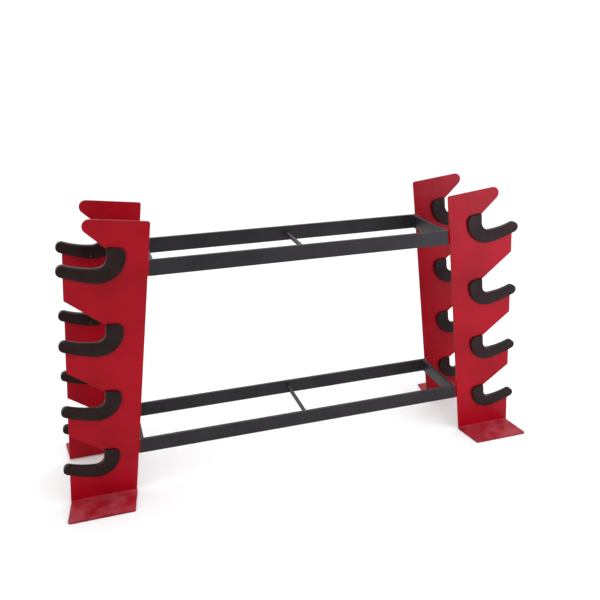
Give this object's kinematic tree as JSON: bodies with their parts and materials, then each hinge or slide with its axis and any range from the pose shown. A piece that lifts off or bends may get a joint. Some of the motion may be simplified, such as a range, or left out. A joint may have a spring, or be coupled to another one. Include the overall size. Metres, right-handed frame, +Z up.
{
  "type": "dumbbell rack",
  "caption": "Free-standing double-ended dumbbell rack: leaning notched plate uprights with moulded saddles, joined by two rectangular tube frames that also carry dumbbells.",
  "frame": {"origin": "on the floor, under the middle of the rack", "axes": "+X along the rack from left to right, -Y is the front, +Z up"},
  "size_m": [1.7998, 0.522, 1.014],
  "materials": {
    "red_powder_coat": "satin red powder coat",
    "black_powder_coat": "satin black powder coat",
    "moulded_rubber": "matte moulded rubber",
    "blackened_steel": "black oxide",
    "zinc_plate": "bright zinc"
  },
  "bodies": {
    "root": {"upright_front_left": "red_powder_coat", "cleats_front_left": "red_powder_coat", "saddle_screws_front_left": "blackened_steel", "saddle_front_left_1": "moulded_rubber", "saddle_front_left_2": "moulded_rubber", "saddle_front_left_3": "moulded_rubber", "saddle_front_left_4": "moulded_rubber", "upright_front_right": "red_powder_coat", "cleats_front_right": "red_powder_coat", "saddle_screws_front_right": "blackened_steel", "saddle_front_right_1": "moulded_rubber", "saddle_front_right_2": "moulded_rubber", "saddle_front_right_3": "moulded_rubber", "saddle_front_right_4": "moulded_rubber", "upright_rear_left": "red_powder_coat", "cleats_rear_left": "red_powder_coat", "saddle_screws_rear_left": "blackened_steel", "saddle_rear_left_1": "moulded_rubber", "saddle_rear_left_2": "moulded_rubber", "saddle_rear_left_3": "moulded_rubber", "saddle_rear_left_4": "moulded_rubber", "upright_rear_right": "red_powder_coat", "cleats_rear_right": "red_powder_coat", "saddle_screws_rear_right": "blackened_steel", "saddle_rear_right_1": "moulded_rubber", "saddle_rear_right_2": "moulded_rubber", "saddle_rear_right_3": "moulded_rubber", "saddle_rear_right_4": "moulded_rubber", "top_rail_front": "black_powder_coat", "top_rail_rear": "black_powder_coat", "top_end_rail_right": "black_powder_coat", "top_end_rail_left": "black_powder_coat", "top_brace": "black_powder_coat", "top_bolts": "blackened_steel", "top_washers": "blackened_steel", "top_inserts": "zinc_plate", "bottom_rail_front": "black_powder_coat", "bottom_rail_rear": "black_powder_coat", "bottom_end_rail_right": "black_powder_coat", "bottom_end_rail_left": "black_powder_coat", "bottom_brace": "black_powder_coat", "bottom_bolts": "blackened_steel", "bottom_washers": "blackened_steel", "bottom_inserts": "zinc_plate"}
  },
  "joints": []
}
